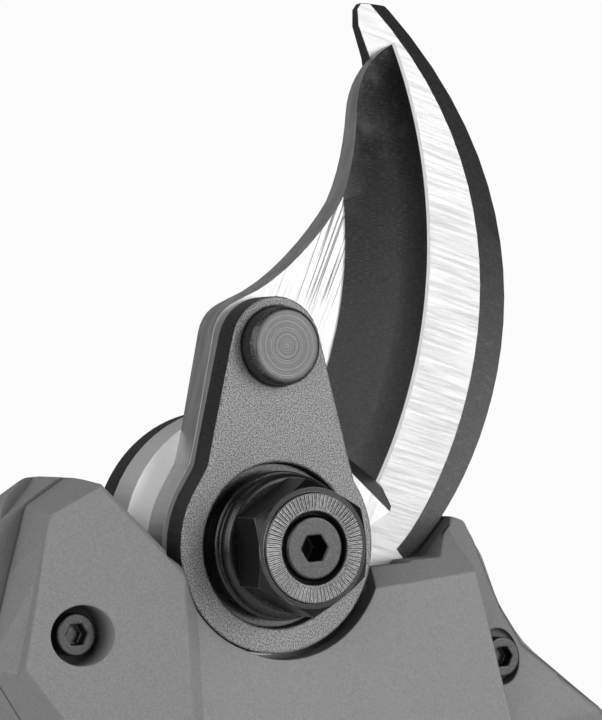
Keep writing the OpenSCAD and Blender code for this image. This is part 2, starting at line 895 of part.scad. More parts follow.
// Screws that join the shells: [x, z, level of the head seat, radius of the recess]
shell_screw_at = [[-29.8, -10.1, -1, 4.3], [42.4, -21, 3.2, 4.3], [-14.5, -118, -5, 3.4],
                  [14.5, -118, -5, 3.4], [-30, -190.5, -8, 3.4], [30, -190.5, -8, 3.4]];
screw_d = 3.5;
screw_l = 13;

module screw_bores() {
    for (p = shell_screw_at) {
        bar_y(p[3], -30, p[2], p[0], p[1]);
        bar_y(screw_d / 2 + 0.02, p[2] - 1, p[2] + screw_l + 0.5, p[0], p[1]);
    }
}

module screw_bosses() {
    for (p = shell_screw_at)
        bar_y(p[3] + 1.8, p[2] - 6, p[2] + screw_l + 3, p[0], p[1]);
}

module shell_screws() {
    color(BLACK)
        for (p = shell_screw_at)
            socket_screw(p[0], p[1], screw_d, p[2], screw_l);
}

// Body with its cavities, common to both shells
module body_shell() {
    difference() {
        body_solid();
        difference() {
            body_cavity();
            intersection() {
                screw_bosses();
                body_solid();
            }
        }
        head_slot();
        screw_bores();
        fittings_cut();
    }
}

module front_shell() {
    color(HOUSING)
        intersection() {
            body_shell();
            block([-60, -40, case_top - 5], [90, split_y - 0.15, 40]);
        }
}

module rear_shell() {
    color(HOUSING)
        intersection() {
            body_shell();
            block([-60, split_y + 0.15, case_top - 5], [90, 60, 40]);
        }
}

// ---------- trigger ----------

trig_x = 27;
trig_z = -43.5;
trig_y0 = 3;
trig_y1 = 13;

trigger_outline = concat(
    arc([trig_x, trig_z], 4.4, 30, 180, 10),
    [[22.7, -48], [22.9, -60], [24.2, -85]],
    arc([28.2, -85], 4, 180, 350, 12),
    bezier([32.6, -82], [32.4, -72], [32.2, -68], [34.4, -59], 8),
    corner([34.4, -59], [36, -53], [31.4, -46], 3));

module trigger() {
    color(BLACK)
        difference() {
            slab(trig_y0 + 0.25, trig_y1 - 0.25)
                polygon(trigger_outline);
            bar_y(1.5 + run_c, 0, 20, trig_x, trig_z);
            translate([20, axis_y, -62])
                rotate([0, 90, 0])
                    cylinder(r = 3.2, h = 8, $fn = 48);
            block([22, axis_y - 2.05, -74.05], [26, axis_y + 2.05, -69.95]);
        }
}

module trigger_pin() {
    color(STEEL)
        bar_y(1.5, trig_y0 - 4.5, trig_y1 + 4.5, trig_x, trig_z);
}

module trigger_magnet() {
    color(DARK_STEEL)
        block([22.6, axis_y - 2, -74], [25.95, axis_y + 2, -70]);
}

// Closed coil along X between the motor cradle and the trigger
module trigger_spring() {
    turns = 4.5;
    coil_r = 2.5;
    wire_r = 0.35;
    x0 = 18.1;
    x1 = 27.4;
    steps = 72;
    color(STEEL)
        skin([for (i = [0:steps])
            let (a = 360 * turns * i / steps, x = x0 + (x1 - x0) * i / steps)
            [for (j = [0:5])
                let (b = 60 * j, r = coil_r + wire_r * cos(b))
                [x + wire_r * sin(b), axis_y + r * cos(a), -62 + r * sin(a)]]]);
}

// ---------- controls and electronics ----------

button_z = -144;
lens_z = -131;

module power_button() {
    color(BLACK)
        union() {
            bar_y(5, grip_y0 - 0.9, grip_y0 + wall + 0.3, 0, button_z);
            bar_y(6.4, grip_y0 + wall + 0.2, grip_y0 + wall + 1.4, 0, button_z);
        }
}

module status_lens() {
    color([0.85, 0.88, 0.9])
        bar_y(2.48, grip_y0 + 0.1, grip_y0 + wall, 0, lens_z);
}

board_z0 = -180;
board_z1 = -126;

module controller_board() {
    color([0.1, 0.25, 0.16])
        block([-16, 4, board_z0], [16, 5.6, board_z1]);
}

module board_parts() {
    color(BLACK)
        union() {
            block([-3.2, -3.2, button_z - 3.2], [3.2, 4, button_z + 3.2]);
            bar_y(1.6, -6.2, -3.2, 0, button_z);
        }
    color(BLACK)
        for (i = [0:2], j = [0:1])
            block([-13 + 10 * i, 5.6, -146 - 14 * j], [-6.5 + 10 * i, 7.8, -138 - 14 * j]);
    color(STEEL)
        for (i = [-1:2:1])
            translate([9 * i, 13, -174])
                cylinder(r = 4.8, h = 17, $fn = 48);
    color(HOUSING)
        block([-12, -2, -176], [12, 4, -168]);
}

// Round cable through a chain of points
module cable(r, path) {
    n = len(path) - 1;
    skin([for (i = [0:n])
        let (d = path[min(i + 1, n)] - path[max(i - 1, 0)], t = unit(d))
        let (u = unit(cross(t, [0.3, 1, 0.2])), v = cross(t, u))
        [for (j = [0:9]) path[i] + r * (cos(36 * j) * u + sin(36 * j) * v)]]);
}

module motor_leads() {
    color(BLACK)
        for (k = [-1:1])
            cable(1, bezier([5 * k, axis_y + 6, motor_end - 0.3], [5 * k, axis_y + 8, motor_end - 8],
                            [5 * k, axis_y + 6, board_z1 + 6], [5 * k, 6.9, board_z1 - 3], 12));
}

module battery_leads() {
    color(BLACK)
        for (k = [-1:2:1])
            cable(1.3, bezier([13 * k, 7.1, board_z0 + 3], [13 * k, 11, board_z0 + 3],
                              [9 * k, 12, board_z0 + 4], [9 * k, 12, block_z1 + 0.3], 10));
}

// Five flat contacts side by side at this spacing
contact_pitch = 5.6;
block_z0 = case_top + 2;
block_z1 = case_top + 14;

module contact_block() {
    color(BLACK)
        difference() {
            block([-16, 0, block_z0], [16, 16, block_z1]);
            for (i = [-2:2])
                block([contact_pitch * i - 0.4, 4, block_z0 - 1],
                      [contact_pitch * i + 0.4, 12, block_z1 - 2]);
        }
}

module contact_blades() {
    color(BRASS)
        for (i = [-2:2])
            block([contact_pitch * i - 0.39, 4.01, case_top - 6],
                  [contact_pitch * i + 0.39, 11.99, block_z1 - 2]);
}

// ---------- battery ----------

lid_h = 4;
cell_r = 9.15;
latch_y0 = 1.5;
latch_y1 = 14.5;

module battery_prism(grow, z0, z1) {
    rounded_column(-base_w / 2 - grow, base_w / 2 + grow, 9 + grow, z0, z1, base_y0 - grow, base_y1 + grow);
}

module battery_case() {
    color(BLACK)
        difference() {
            battery_prism(0, -base_z + lid_h, case_top);
            battery_prism(-2.2, -base_z, case_top - 2.4);
            for (i = [-2:2])
                block([contact_pitch * i - 0.7, 3.6, case_top - 4],
                      [contact_pitch * i + 0.7, 12.4, case_top + 1]);
            for (s = [-1:2:1])
                block([s * 41 - 7.8, latch_y0 - 0.2, case_top - 20.2],
                      [s * 41 + 7.8, latch_y1 + 0.2, case_top + 1]);
            for (z = [case_top - 12, case_top - 18, case_top - 24])
                battery_grooves(z);
        }
}

// Shallow grip groove across the front and rear faces of the battery
module battery_grooves(z) {
    for (y = [base_y0, base_y1])
        translate([-24, y, z])
            rotate([0, 90, 0])
                cylinder(r = 0.9, h = 48, $fn = 32);
}

module battery_lid() {
    color(BLACK)
        difference() {
            union() {
                battery_prism(0, -base_z, -base_z + lid_h - 0.05);
                battery_prism(-2.25, -base_z + 2, -base_z + lid_h + 1.5);
            }
            battery_prism(-4.4, -base_z + 2.4, -base_z + lid_h + 3);
        }
}

module battery_cells() {
    color([0.3, 0.32, 0.36])
        for (y = [-9.3, 9.3], z = [9.3, 28])
            translate([-32.5, axis_y + y, -base_z + 4.2 + z])
                rotate([0, 90, 0])
                    union() {
                        cylinder(r = cell_r, h = 64, $fn = 64);
                        translate([0, 0, 64])
                            cylinder(r = 3, h = 1, $fn = 32);
                    }
}

module battery_board() {
    color([0.1, 0.25, 0.16])
        block([-28, axis_y - 14, case_top - 8], [28, axis_y + 14, case_top - 6.6]);
}

module battery_contacts() {
    color(BRASS)
        for (i = [-2:2], s = [-1:2:1])
            translate([contact_pitch * i + s * 0.85 - 0.3, 5, case_top - 6.6])
                cube([0.6, 6, 4.1]);
}

latch_outline = rounded([[35.2, case_top - 20, 0.5], [38.6, case_top - 20, 1],
                         [39.6, case_top - 13, 2], [38.6, case_top - 3, 1],
                         [38.2, case_top + 5, 0.6], [35.2, case_top + 5, 0.6]]);

// Press button with its nose, on the left side when side is -1
module latch(side) {
    color(HOUSING)
        difference() {
            mirror([side < 0 ? 1 : 0, 0, 0])
                union() {
                    slab(latch_y0, latch_y1)
                        polygon(latch_outline);
                }
            for (k = [0:3])
                translate([side * 39.9, latch_y0 - 1, case_top - 17 + 3 * k])
                    rotate([-90, 0, 0])
                        cylinder(r = 0.8, h = 20, $fn = 24);
        }
}

module latch_left() { latch(-1); }
module latch_right() { latch(1); }

// ---------- grip cover and openings of the shells ----------

cover_t = 1.5;

module grip_cover() {
    z0 = case_top + 22;
    z1 = -72;
    color(SOFT)
        difference() {
            rounded_column(-grip_w / 2 - cover_t, grip_w / 2 + cover_t, grip_r + cover_t, z0, z1,
                           grip_y0 - cover_t, grip_y1 + cover_t);
            rounded_column(-grip_w / 2, grip_w / 2, grip_r, z0 - 1, z1 + 1, grip_y0, grip_y1);
            slab(-40, 60)
                polygon(rounded([[-16, z0 - 20, 0], [-16, z0 + 24, 10], [-20.5, -118, 30],
                                 [-14, z1 + 20, 0], [60, z1 + 20, 0], [60, z0 - 20, 0]]));
            block([-60, split_y - 0.15, -300], [60, split_y + 0.15, 0]);
        }
}

module fittings_cut() {
    block([17.5, trig_y0, -92], [34, trig_y1, -47]);
    slab(trig_y0, trig_y1)
        polygon(arc([trig_x, trig_z], 5.4, 0, 350, 24));
    slab(trig_y0, trig_y1)
        polygon([[22, -48], [22, -44], [34, -44], [36, -48]]);
    bar_y(1.5, trig_y0 - 4.6, trig_y1 + 4.6, trig_x, trig_z);
    bar_y(5.15, -20, 0, 0, button_z);
    bar_y(2.5, -20, 0, 0, lens_z);
    bar_y(2.5, guard_y0 - 1, guard_y1 + 1, 27, -131);
    block([-16.1, -0.1, case_top - 1], [16.1, 16.1, case_top + 18]);
    for (s = [-1:2:1])
        block([s * 42 - 8.9, latch_y0 - 0.3, case_top - 1], [s * 42 + 8.9, latch_y1 + 0.3, case_top + 6]);
}

cutting_blade();
link_plate();
sector_gear();
drive_pin();
hook_blade();
pivot_bush();
pivot_bolt();
pivot_nut();
flange_washer();
disc_washer();
hook_screws();
gearcase();
pinion_bearing();
bearing_core();
bevel_pinion();
planet_carrier();
planet_pins();
planet_a();
planet_b();
planet_c();
ring_gear();
sun_gear();
motor_plate();
motor_can();
stator();
rotor();
motor_shaft();
motor_bushes();
front_shell();
rear_shell();
shell_screws();
grip_cover();
trigger();
trigger_pin();
trigger_spring();
trigger_magnet();
power_button();
status_lens();
controller_board();
board_parts();
motor_leads();
battery_leads();
contact_block();
contact_blades();
battery_case();
battery_lid();
battery_cells();
battery_board();
latch_left();
latch_right();
battery_contacts();
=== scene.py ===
import math

import bpy
from mathutils import Matrix, Vector


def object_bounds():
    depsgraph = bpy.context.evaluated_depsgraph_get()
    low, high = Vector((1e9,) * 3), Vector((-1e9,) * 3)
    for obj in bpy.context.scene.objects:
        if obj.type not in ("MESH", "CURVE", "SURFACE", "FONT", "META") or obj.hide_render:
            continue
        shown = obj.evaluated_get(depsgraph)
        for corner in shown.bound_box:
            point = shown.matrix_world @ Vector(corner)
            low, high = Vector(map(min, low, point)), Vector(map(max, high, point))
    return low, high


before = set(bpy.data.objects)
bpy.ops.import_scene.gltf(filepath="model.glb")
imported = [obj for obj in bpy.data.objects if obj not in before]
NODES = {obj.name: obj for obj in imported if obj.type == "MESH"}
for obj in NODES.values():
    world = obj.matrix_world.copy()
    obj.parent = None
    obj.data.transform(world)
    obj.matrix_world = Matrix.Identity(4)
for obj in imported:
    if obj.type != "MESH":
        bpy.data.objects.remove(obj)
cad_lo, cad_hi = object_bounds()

scene = bpy.context.scene
MM = 0.001


# ---------- node helpers ----------

class Tree:
    """A material's node tree, built by short calls that return sockets."""

    def __init__(self, name):
        self.material = bpy.data.materials.new(name)
        self.material.use_nodes = True
        self.nodes = self.material.node_tree.nodes
        self.links = self.material.node_tree.links
        self.nodes.clear()
        self.place = self.add("ShaderNodeTexCoord").outputs["Object"]
        self.geo = self.add("ShaderNodeNewGeometry")

    def add(self, kind, inputs=None, **props):
        node = self.nodes.new(kind)
        for key, value in props.items():
            setattr(node, key, value)
        for key, value in (inputs or {}).items():
            self.put(node, key, value)
        return node

    def put(self, node, key, value):
        socket = node.inputs[key]
        if isinstance(value, bpy.types.NodeSocket):
            self.links.new(value, socket)
        elif isinstance(value, (int, float)) and socket.type == "RGBA":
            socket.default_value = (value, value, value, 1)
        else:
            socket.default_value = value

    def math(self, op, a, b=0.0, clamp=False):
        node = self.add("ShaderNodeMath", operation=op, use_clamp=clamp)
        self.put(node, 0, a)
        self.put(node, 1, b)
        return node.outputs[0]

    def vec(self, op, a, b=(0, 0, 0)):
        node = self.add("ShaderNodeVectorMath", operation=op)
        self.put(node, 0, a)
        self.put(node, 1, b)
        return node.outputs["Value" if op in ("DOT_PRODUCT", "LENGTH") else "Vector"]

    def split(self, vector):
        node = self.add("ShaderNodeSeparateXYZ", {"Vector": vector})
        return node.outputs["X"], node.outputs["Y"], node.outputs["Z"]

    def join(self, x, y, z):
        return self.add("ShaderNodeCombineXYZ", {"X": x, "Y": y, "Z": z}).outputs[0]

    def step(self, value, lo, hi, a=0.0, b=1.0):
        """Smooth change from a to b while value goes from lo to hi."""
        node = self.add("ShaderNodeMapRange", interpolation_type="SMOOTHSTEP")
        ends = {"Value": value, "From Min": lo, "From Max": hi, "To Min": a, "To Max": b}
        for key, number in ends.items():
            self.put(node, key, number)
        return node.outputs["Result"]

    def noise(self, scale, detail=3.0, rough=0.5, at=None):
        vector = at or self.place
        sockets = {"Vector": vector, "Scale": scale, "Detail": detail, "Roughness": rough}
        return self.add("ShaderNodeTexNoise", sockets).outputs["Fac"]

    def cells(self, scale):
        sockets = {"Vector": self.place, "Scale": scale}
        return self.add("ShaderNodeTexVoronoi", sockets, feature="F1").outputs["Distance"]

    def mix(self, factor, a, b):
        node = self.add("ShaderNodeMix", data_type="RGBA")
        self.put(node, "Factor", factor)
        self.put(node, 6, a)
        self.put(node, 7, b)
        return node.outputs[2]

    def blend(self, factor, a, b):
        """Number mix."""
        node = self.add("ShaderNodeMix", data_type="FLOAT")
        self.put(node, 0, factor)
        self.put(node, 2, a)
        self.put(node, 3, b)
        return node.outputs[0]

    def edges(self, radius, lo=0.02, hi=0.25):
        """1 on convex and concave edges, 0 on flats, from the rounded normal."""
        soft = self.add("ShaderNodeBevel", {"Radius": radius}, samples=6).outputs[0]
        same = self.vec("DOT_PRODUCT", soft, self.geo.outputs["Normal"])
        return self.step(self.math("SUBTRACT", 1.0, same), lo, hi), soft

    def bump(self, height, strength, distance, normal=None):
        sockets = {"Height": height, "Strength": strength, "Distance": distance}
        node = self.add("ShaderNodeBump", sockets)
        if normal:
            self.put(node, "Normal", normal)
        return node.outputs[0]

    def surface(self, color, rough, metal=0.0, normal=None, **more):
        sockets = {"Base Color": color, "Roughness": rough, "Metallic": metal}
        shader = self.add("ShaderNodeBsdfPrincipled", sockets)
        if normal:
            self.put(shader, "Normal", normal)
        for key, value in more.items():
            self.put(shader, key.replace("_", " "), value)
        out = self.add("ShaderNodeOutputMaterial")
        self.links.new(shader.outputs[0], out.inputs["Surface"])
        return self.material


def grey(level, warm=0.0):
    return (level * (1 + warm), level, level * (1 - warm), 1)


# ---------- materials ----------

def moulded(name, level, rough=0.55, grain=2600, depth=0.00006, wear=0.35, edge=0.0005,
            shade=0.5, reach=0.006):
    """Moulded plastic: fine spark-eroded grain, slow tone drift, rubbed edges, painted shade darkening
    the hollows.
    """
    t = Tree(name)
    drift = t.noise(35, 4)
    fine = t.noise(grain, 2, 0.6)
    pits = t.cells(grain * 0.55)
    edge_wear_and_highlight, soft = t.edges(edge, 0.01, 0.22)
    scuffs = t.step(t.noise(420, 5, 0.7), 0.62, 0.72)
    tone = t.mix(drift, grey(level * 0.93), grey(level * 1.07))
    tone = t.mix(t.math("MULTIPLY", t.step(fine, 0.4, 0.6), 0.45), tone, grey(level * 1.4))
    tone = t.mix(t.math("MULTIPLY", edge_wear_and_highlight, wear), tone, grey(min(1, level * 1.5)))
    tone = t.mix(t.math("MULTIPLY", scuffs, 0.05), tone, grey(min(1, level * 2)))
    # painted shade: ambient occlusion darkens hollows, creases and gaps in the colour itself
    open_sky = t.add("ShaderNodeAmbientOcclusion", {"Distance": reach}, samples=6).outputs["AO"]
    tone = t.mix(t.step(open_sky, 0.95, 0.35, 0.0, shade), tone, grey(level * 0.12))
    shine = t.blend(drift, rough - 0.05, rough + 0.07)
    height = t.math("ADD", fine, t.math("MULTIPLY", pits, 0.8))
    normal = t.bump(height, 0.55, depth, soft)
    return t.surface(tone, shine, 0.0, normal, Specular_IOR_Level=0.42)


def metal(name, level, rough=0.3, grain=1800, depth=0.00003, wear=0.5, edge=0.0004, warm=0.0):
    """Machined or cast metal: grain, tone drift, brighter worn edges."""
    t = Tree(name)
    drift = t.noise(60, 4)
    fine = t.noise(grain, 3, 0.6)
    edge_wear_and_highlight, soft = t.edges(edge)
    tone = t.mix(drift, grey(level * 0.86, warm), grey(min(1, level * 1.12), warm))
    tone = t.mix(t.math("MULTIPLY", t.step(fine, 0.4, 0.7), 0.3), tone, grey(min(1, level * 1.4), warm))
    tone = t.mix(t.math("MULTIPLY", edge_wear_and_highlight, wear), tone, grey(min(0.95, level * 1.9 + 0.08), warm))
    shine = t.blend(t.step(fine, 0.3, 0.7), rough * 0.85, min(1, rough * 1.25))
    shine = t.blend(t.math("MULTIPLY", edge_wear_and_highlight, 0.5), shine, rough * 0.7)
    normal = t.bump(fine, 0.5, depth, soft)
    return t.surface(tone, shine, 1.0, normal)


# Axes along Y, as (x, z) in metres
PIVOT = (0.0, 0.0)
PIN = (0.0018, 0.02844)
GRIND_CENTRE = (-0.042, 0.0475)

# Start and end of the fade of each mask along Y, in metres
BLADE_FACE = (-0.00488, -0.00496)
BLADE_REAR = (-0.0001, -0.00003)
HONE_BACK = (-0.0012, -0.0008)
HOOK_FACE = (0.0004, 0.0002)
NUT_FACE = (-0.0204, -0.0207)
PIN_FACE = (-0.01275, -0.01292)

# Start and end of the fade of each round mask, as radii in metres
HONE_INNER = (0.07530, 0.07545)
CUT_MARKS = (0.044, 0.0575)
RING_OUTER = (0.0077, 0.0075)
RING_INNER = (0.0051, 0.0053)

# Range of x over which the hook changes to a paler base disc: painted light, the disc's face and coated
# side brightened in colour
HOOK_LIT_BASE_X = (0.004, -0.006)

# Teeth of the serration drawn on the nut face
SERRATIONS = 144


def about(t, centre):
    """Radius and angle of the shaded point about an axis along Y."""
    x, _, z = t.split(t.place)
    dx, dz = t.math("SUBTRACT", x, centre[0]), t.math("SUBTRACT", z, centre[1])
    return t.vec("LENGTH", t.join(dx, 0.0, dz)), t.math("ARCTAN2", dz, dx)


def lines(t, angle, pitch, thin, seed=0.0, detail=4.0):
    """Parallel scratches in the XZ plane: noise pulled out along a direction, 0 to 1."""
    x, y, z = t.split(t.place)
    c, s = math.cos(math.radians(angle)), math.sin(math.radians(angle))
    along = t.math("ADD", t.math("MULTIPLY", x, c), t.math("MULTIPLY", z, s))
    across = t.math("SUBTRACT", t.math("MULTIPLY", z, c), t.math("MULTIPLY", x, s))
    at = t.join(t.math("MULTIPLY", along, thin), t.math("ADD", across, seed), y)
    return t.noise(1 / pitch, detail, 0.65, at=at)


def blade_steel():
    """Ground flat, dark hollow grind with cross lines, honed strip, grey spine."""
    t = Tree("blade_steel")
    _, y, z = t.split(t.place)
    radius, angle = about(t, GRIND_CENTRE)
    facing = t.math("ABSOLUTE", t.split(t.geo.outputs["True Normal"])[1])
    side = t.step(facing, 0.45, 0.3)
    front = t.step(y, *BLADE_FACE)
    hone = t.math("MULTIPLY", t.step(radius, *HONE_INNER), t.step(y, *HONE_BACK))
    rear = t.step(y, *BLADE_REAR)
    drift = t.noise(45, 4)
    fine = t.noise(3800, 2, 0.6)
    scratch = lines(t, 62, 0.00035, 0.035)
    marks = t.math("ABSOLUTE", t.math("SUBTRACT", lines(t, 64, 0.0012, 0.012, 0.4, 1.0), 0.5))
    cuts = t.math("MULTIPLY", t.step(marks, 0.05, 0.015), t.step(radius, *CUT_MARKS))
    cuts = t.math("MULTIPLY", cuts, t.step(z, 0.032, 0.037))
    flat = t.mix(drift, grey(0.5), grey(0.6))
    flat = t.mix(t.math("MULTIPLY", t.step(scratch, 0.45, 0.75), 0.35), flat, grey(0.45))
    flat = t.mix(t.math("MULTIPLY", cuts, 0.85), flat, grey(0.08))
    sweep = t.join(t.math("MULTIPLY", radius, 30), t.math("MULTIPLY", angle, 76), 0.0)
    cross = t.noise(26, 5, 0.7, at=sweep)
    low = t.step(z, 0.07, 0.012)
    dark = t.mix(low, grey(0.009), grey(0.055))
    dark = t.mix(t.math("MULTIPLY", t.step(cross, 0.5, 0.62), t.blend(low, 0.35, 0.8)), dark, grey(0.15))
    blotch = t.noise(220, 4, 0.6)
    dark = t.mix(t.math("MULTIPLY", t.step(blotch, 0.5, 0.7), 0.4), dark, grey(0.05))
    spine = t.mix(t.step(lines(t, 70, 0.002, 0.2), 0.3, 0.7), grey(0.36), grey(0.55))
    spine = t.mix(t.step(z, 0.016, 0.006), spine, grey(0.42))
    tone = t.mix(front, dark, flat)
    tone = t.mix(hone, tone, t.mix(cross, grey(0.5), grey(0.8)))
    tone = t.mix(rear, tone, flat)
    tone = t.mix(side, tone, spine)
    bright = t.math("MAXIMUM", front, rear)
    bright = t.math("MULTIPLY", bright, t.math("SUBTRACT", 1.0, side))
    shine = t.blend(bright, 0.38, t.blend(t.step(scratch, 0.3, 0.7), 0.3, 0.46))
    height = t.blend(bright, t.math("ADD", cross, t.math("MULTIPLY", fine, 0.4)),
                     t.math("ADD", scratch, t.math("MULTIPLY", cuts, -1.2)))
    soft = t.add("ShaderNodeBevel", {"Radius": 0.00012}, samples=4).outputs[0]
    normal = t.bump(height, 0.5, 0.00003, soft)
    metallic = t.blend(hone, t.blend(bright, 0.9, 0.5), 0.0)
    return t.surface(tone, shine, metallic, normal, Specular_IOR_Level=t.blend(bright, 0.05, 0.5))


def hook_steel():
    """Ground face, coated chamfer and sides, with painted light brightening the base disc."""
    t = Tree("hook_steel")
    x, y, z = t.split(t.place)
    facing = t.split(t.geo.outputs["True Normal"])[1]
    front = t.math("MULTIPLY", t.step(facing, -0.985, -0.995), t.step(y, *HOOK_FACE))
    drift = t.noise(40, 4)
    scratch = lines(t, -20, 0.0006, 0.05)
    fine = t.noise(3400, 3, 0.65)
    chip = t.step(t.noise(900, 5, 0.75), 0.66, 0.72)
    face = t.mix(drift, grey(0.38), grey(0.48))
    face = t.mix(t.math("MULTIPLY", t.step(scratch, 0.5, 0.8), 0.3), face, grey(0.3))
    # painted light: the base disc's ground face is painted near white
    face = t.mix(t.step(x, *HOOK_LIT_BASE_X), face, grey(0.95))
    low = t.step(z, 0.055, 0.0)
    coat = t.mix(low, grey(0.035), grey(0.13))
    pale = t.mix(low, grey(0.09), grey(0.27))
    coat = t.mix(t.math("MULTIPLY", t.step(fine, 0.4, 0.7), 0.35), coat, pale)
    coat = t.mix(t.math("MULTIPLY", t.step(lines(t, -25, 0.0005, 0.06, 0.2), 0.5, 0.75), 0.4), coat, pale)
    coat = t.mix(t.math("MULTIPLY", chip, 0.3), coat, grey(0.3))
    # painted light: the coated side around the base disc is painted paler and made less metallic
    base = t.math("MULTIPLY", t.step(x, *HOOK_LIT_BASE_X), t.step(z, 0.03, 0.02))
    coat = t.mix(t.math("MULTIPLY", base, 0.8), coat, t.mix(fine, grey(0.42), grey(0.62)))
    edge_wear_and_highlight, soft = t.edges(0.0002)
    coat = t.mix(t.math("MULTIPLY", edge_wear_and_highlight, 0.5), coat, grey(0.4))
    tone = t.mix(front, coat, face)
    shine = t.blend(front, 0.42, t.blend(t.step(scratch, 0.3, 0.7), 0.3, 0.45))
    height = t.blend(front, t.math("ADD", fine, t.math("MULTIPLY", chip, -0.5)), scratch)
    normal = t.bump(height, 0.5, 0.00003, soft)
    metallic = t.blend(base, t.blend(front, 0.6, 0.45), 0.1)
    return t.surface(tone, shine, metallic, normal, Specular_IOR_Level=t.blend(front, 0.15, 0.5))


def blasted_steel():
    """Bead-blasted plate: fine dark and light speckle, painted highlight as a bright ragged line on the
    edges, darker sides.
    """
    t = Tree("blasted_steel")
    facing = t.math("ABSOLUTE", t.split(t.geo.outputs["True Normal"])[1])
    side = t.step(facing, 0.5, 0.3)
    drift = t.noise(70, 4)
    fine = t.noise(5200, 2, 0.7)
    pits = t.cells(3600)
    edge_wear_and_highlight, soft = t.edges(0.00022, 0.05, 0.3)
    tone = t.mix(drift, grey(0.17), grey(0.24))
    tone = t.mix(t.step(fine, 0.4, 0.6), t.mix(0.65, tone, grey(0.05)), t.mix(0.5, tone, grey(0.55)))
    tone = t.mix(t.math("MULTIPLY", t.step(pits, 0.25, 0.1), 0.4), tone, grey(0.03))
    # painted highlight: a ragged near-white line painted along the plate's edges
    ragged_highlight = t.math("MULTIPLY", edge_wear_and_highlight, t.step(t.noise(2400, 4, 0.7), 0.42, 0.6))
    side_tone = t.mix(t.step(fine, 0.4, 0.6), grey(0.005), grey(0.04))
    tone = t.mix(t.math("MULTIPLY", side, 0.95), tone, side_tone)
    tone = t.mix(t.math("MULTIPLY", ragged_highlight, 0.85), tone, grey(0.95))
    height = t.math("SUBTRACT", fine, t.math("MULTIPLY", t.step(pits, 0.3, 0.05), 0.6))
    normal = t.bump(height, 0.8, 0.00009, soft)
    return t.surface(tone, t.blend(fine, 0.42, 0.62), 0.7, normal)


def nut_steel():
    """Black nut with a bright serrated ring face and painted highlights along its edges."""
    t = Tree("nut_steel")
    y = t.split(t.place)[1]
    radius, angle = about(t, PIVOT)
    ring = t.math("MULTIPLY", t.step(radius, *RING_OUTER), t.step(radius, *RING_INNER))
    ring = t.math("MULTIPLY", ring, t.step(y, *NUT_FACE))
    drift = t.noise(160, 4)
    fine = t.noise(3600, 3, 0.65)
    serration = t.math("SINE", t.math("MULTIPLY", angle, SERRATIONS))
    edge_wear_and_highlight, soft = t.edges(0.0003, 0.02, 0.2)
    black = t.mix(drift, grey(0.012), grey(0.04))
    black = t.mix(t.math("MULTIPLY", t.step(fine, 0.5, 0.75), 0.3), black, grey(0.07))
    # painted highlight: the nut's chamfer edges are painted pale grey
    black = t.mix(t.math("MULTIPLY", edge_wear_and_highlight, 0.6), black, grey(0.6))
    bright = t.mix(t.step(serration, -0.6, 0.8), grey(0.07), grey(0.42))
    bright = t.mix(t.math("MULTIPLY", t.step(fine, 0.4, 0.6), 0.4), bright, grey(0.55))
    tone = t.mix(ring, black, bright)
    height = t.math("ADD", fine, t.math("MULTIPLY", t.math("MULTIPLY", serration, ring), 1.2))
    normal = t.bump(height, 0.6, 0.00005, soft)
    return t.surface(tone, t.blend(ring, 0.3, 0.42), 0.9, normal, Specular_IOR_Level=0.2)


def pin_steel():
    """Dark pin with a turned, lighter end face."""
    t = Tree("pin_steel")
    y = t.split(t.place)[1]
    radius, angle = about(t, PIN)
    face = t.step(y, *PIN_FACE)
    wobble = t.noise(500, 3, 0.6)
    wavy = t.math("ADD", radius, t.math("MULTIPLY", wobble, 0.0001))
    rings = t.noise(5200, 3, 0.7, at=t.join(wavy, 0.0, 0.0))
    sweep = t.noise(3, 4, 0.7, at=t.join(t.math("MULTIPLY", radius, 4000), angle, 0.0))
    fine = t.noise(3400, 3, 0.6)
    edge_wear_and_highlight, soft = t.edges(0.00035, 0.02, 0.25)
    end = t.mix(t.step(rings, 0.35, 0.65), grey(0.035), grey(0.15))
    end = t.mix(t.math("MULTIPLY", t.step(sweep, 0.5, 0.75), 0.5), end, grey(0.22))
    wall = t.mix(t.step(fine, 0.4, 0.7), grey(0.04), grey(0.13))
    tone = t.mix(face, wall, end)
    tone = t.mix(t.math("MULTIPLY", edge_wear_and_highlight, 0.4), tone, grey(0.5))
    height = t.blend(face, fine, rings)
    return t.surface(tone, t.blend(face, 0.4, 0.36), 0.85, t.bump(height, 0.7, 0.00005, soft))


MATERIALS = {
    "housing": moulded("housing_grey", 0.2, 0.5, grain=3200, shade=0.6),
    "black": moulded("black_plastic", 0.03, 0.48, wear=0.2),
    "soft": moulded("soft_grip", 0.05, 0.75, grain=1500, depth=0.00012, wear=0.12),
    "oxide": metal("black_oxide", 0.05, 0.3, 2600, wear=0.6),
    "steel": metal("bright_steel", 0.62, 0.28, 900, wear=0.2),
    "blasted": blasted_steel(),
    "blade": blade_steel(),
    "hook": hook_steel(),
    "nut": nut_steel(),
    "alloy": metal("cast_alloy", 0.5, 0.45, 900, depth=0.00006),
    "iron": metal("iron_core", 0.16, 0.5, 1500),
    "bronze": metal("bronze", 0.45, 0.34, 1100, warm=0.22),
    "pin": pin_steel(),
    "lens": moulded("clear_lens", 0.75, 0.15, wear=0.05),
    "board": moulded("circuit_board", 0.04, 0.35),
    "jacket": moulded("cable_jacket", 0.04, 0.5, wear=0.1),
    "cell": moulded("cell_wrap", 0.08, 0.35, wear=0.2),
}

